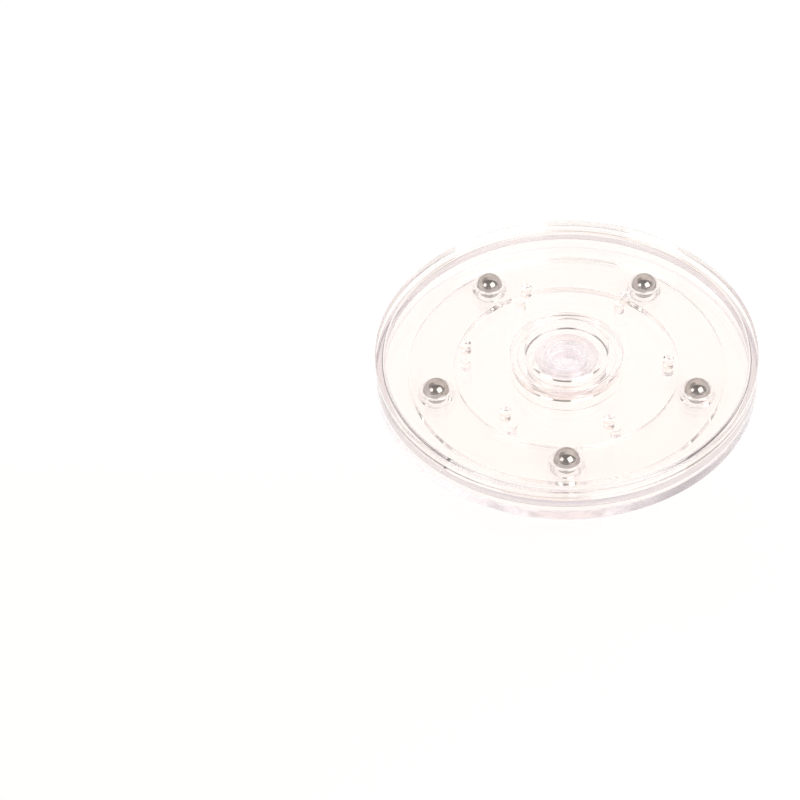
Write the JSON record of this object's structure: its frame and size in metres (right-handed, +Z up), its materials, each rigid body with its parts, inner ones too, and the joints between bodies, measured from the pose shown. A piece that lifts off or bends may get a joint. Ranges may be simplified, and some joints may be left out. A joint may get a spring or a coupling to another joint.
{
  "type": "turntable display stand",
  "caption": "Round clear plastic turntable: a flat top disc rolls on caged steel balls over a shallow base tray, held by a flanged hub plug.",
  "frame": {"origin": "centre of the underside, on the surface that the turntable stands on", "axes": "+Z up along the spin axis; one ball lies towards -Y at rest"},
  "size_m": [0.15, 0.15, 0.0166],
  "materials": {
    "clear_plastic": "clear polished polystyrene or acrylic, very slightly warm, with lilac edges",
    "cage_plastic": "clear moulded plastic, slightly softer gloss than the shells",
    "hub_plastic": "clear plastic with a lightly frosted, lilac look",
    "ball_steel": "polished bearing steel"
  },
  "bodies": {
    "base": {"base_shell": "clear_plastic", "hub_plug": "hub_plastic"},
    "top": {"top_shell": "clear_plastic"},
    "cage": {"ball_cage": "cage_plastic"},
    "ball_1": {"ball_1": "ball_steel"},
    "ball_2": {"ball_2": "ball_steel"},
    "ball_3": {"ball_3": "ball_steel"},
    "ball_4": {"ball_4": "ball_steel"},
    "ball_5": {"ball_5": "ball_steel"}
  },
  "joints": [
    {"name": "turntable_spin", "type": "hinge", "parent": "base", "child": "top", "pos_m": [0, 0, 0.0083], "axis": [0, 0, 1], "continuous": true},
    {"name": "cage_orbit", "type": "hinge", "parent": "base", "child": "cage", "pos_m": [0, 0, 0.0083], "axis": [0, 0, 1], "continuous": true},
    {"name": "ball_1_roll", "type": "hinge", "parent": "cage", "child": "ball_1", "pos_m": [0, -0.0533, 0.0083], "axis": [0, -1, 0], "continuous": true},
    {"name": "ball_2_roll", "type": "hinge", "parent": "cage", "child": "ball_2", "pos_m": [0.05069, -0.01647, 0.0083], "axis": [0.9511, -0.309, 0], "continuous": true},
    {"name": "ball_3_roll", "type": "hinge", "parent": "cage", "child": "ball_3", "pos_m": [0.03133, 0.04312, 0.0083], "axis": [0.5878, 0.809, 0], "continuous": true},
    {"name": "ball_4_roll", "type": "hinge", "parent": "cage", "child": "ball_4", "pos_m": [-0.03133, 0.04312, 0.0083], "axis": [-0.5878, 0.809, 0], "continuous": true},
    {"name": "ball_5_roll", "type": "hinge", "parent": "cage", "child": "ball_5", "pos_m": [-0.05069, -0.01647, 0.0083], "axis": [-0.9511, -0.309, 0], "continuous": true}
  ],
  "couplings": [
    {"joint": "cage_orbit", "follows": "turntable_spin", "ratio": 0.5},
    {"joint": "ball_1_roll", "follows": "turntable_spin", "ratio": -5.33},
    {"joint": "ball_2_roll", "follows": "turntable_spin", "ratio": -5.33},
    {"joint": "ball_3_roll", "follows": "turntable_spin", "ratio": -5.33},
    {"joint": "ball_4_roll", "follows": "turntable_spin", "ratio": -5.33},
    {"joint": "ball_5_roll", "follows": "turntable_spin", "ratio": -5.33}
  ]
}
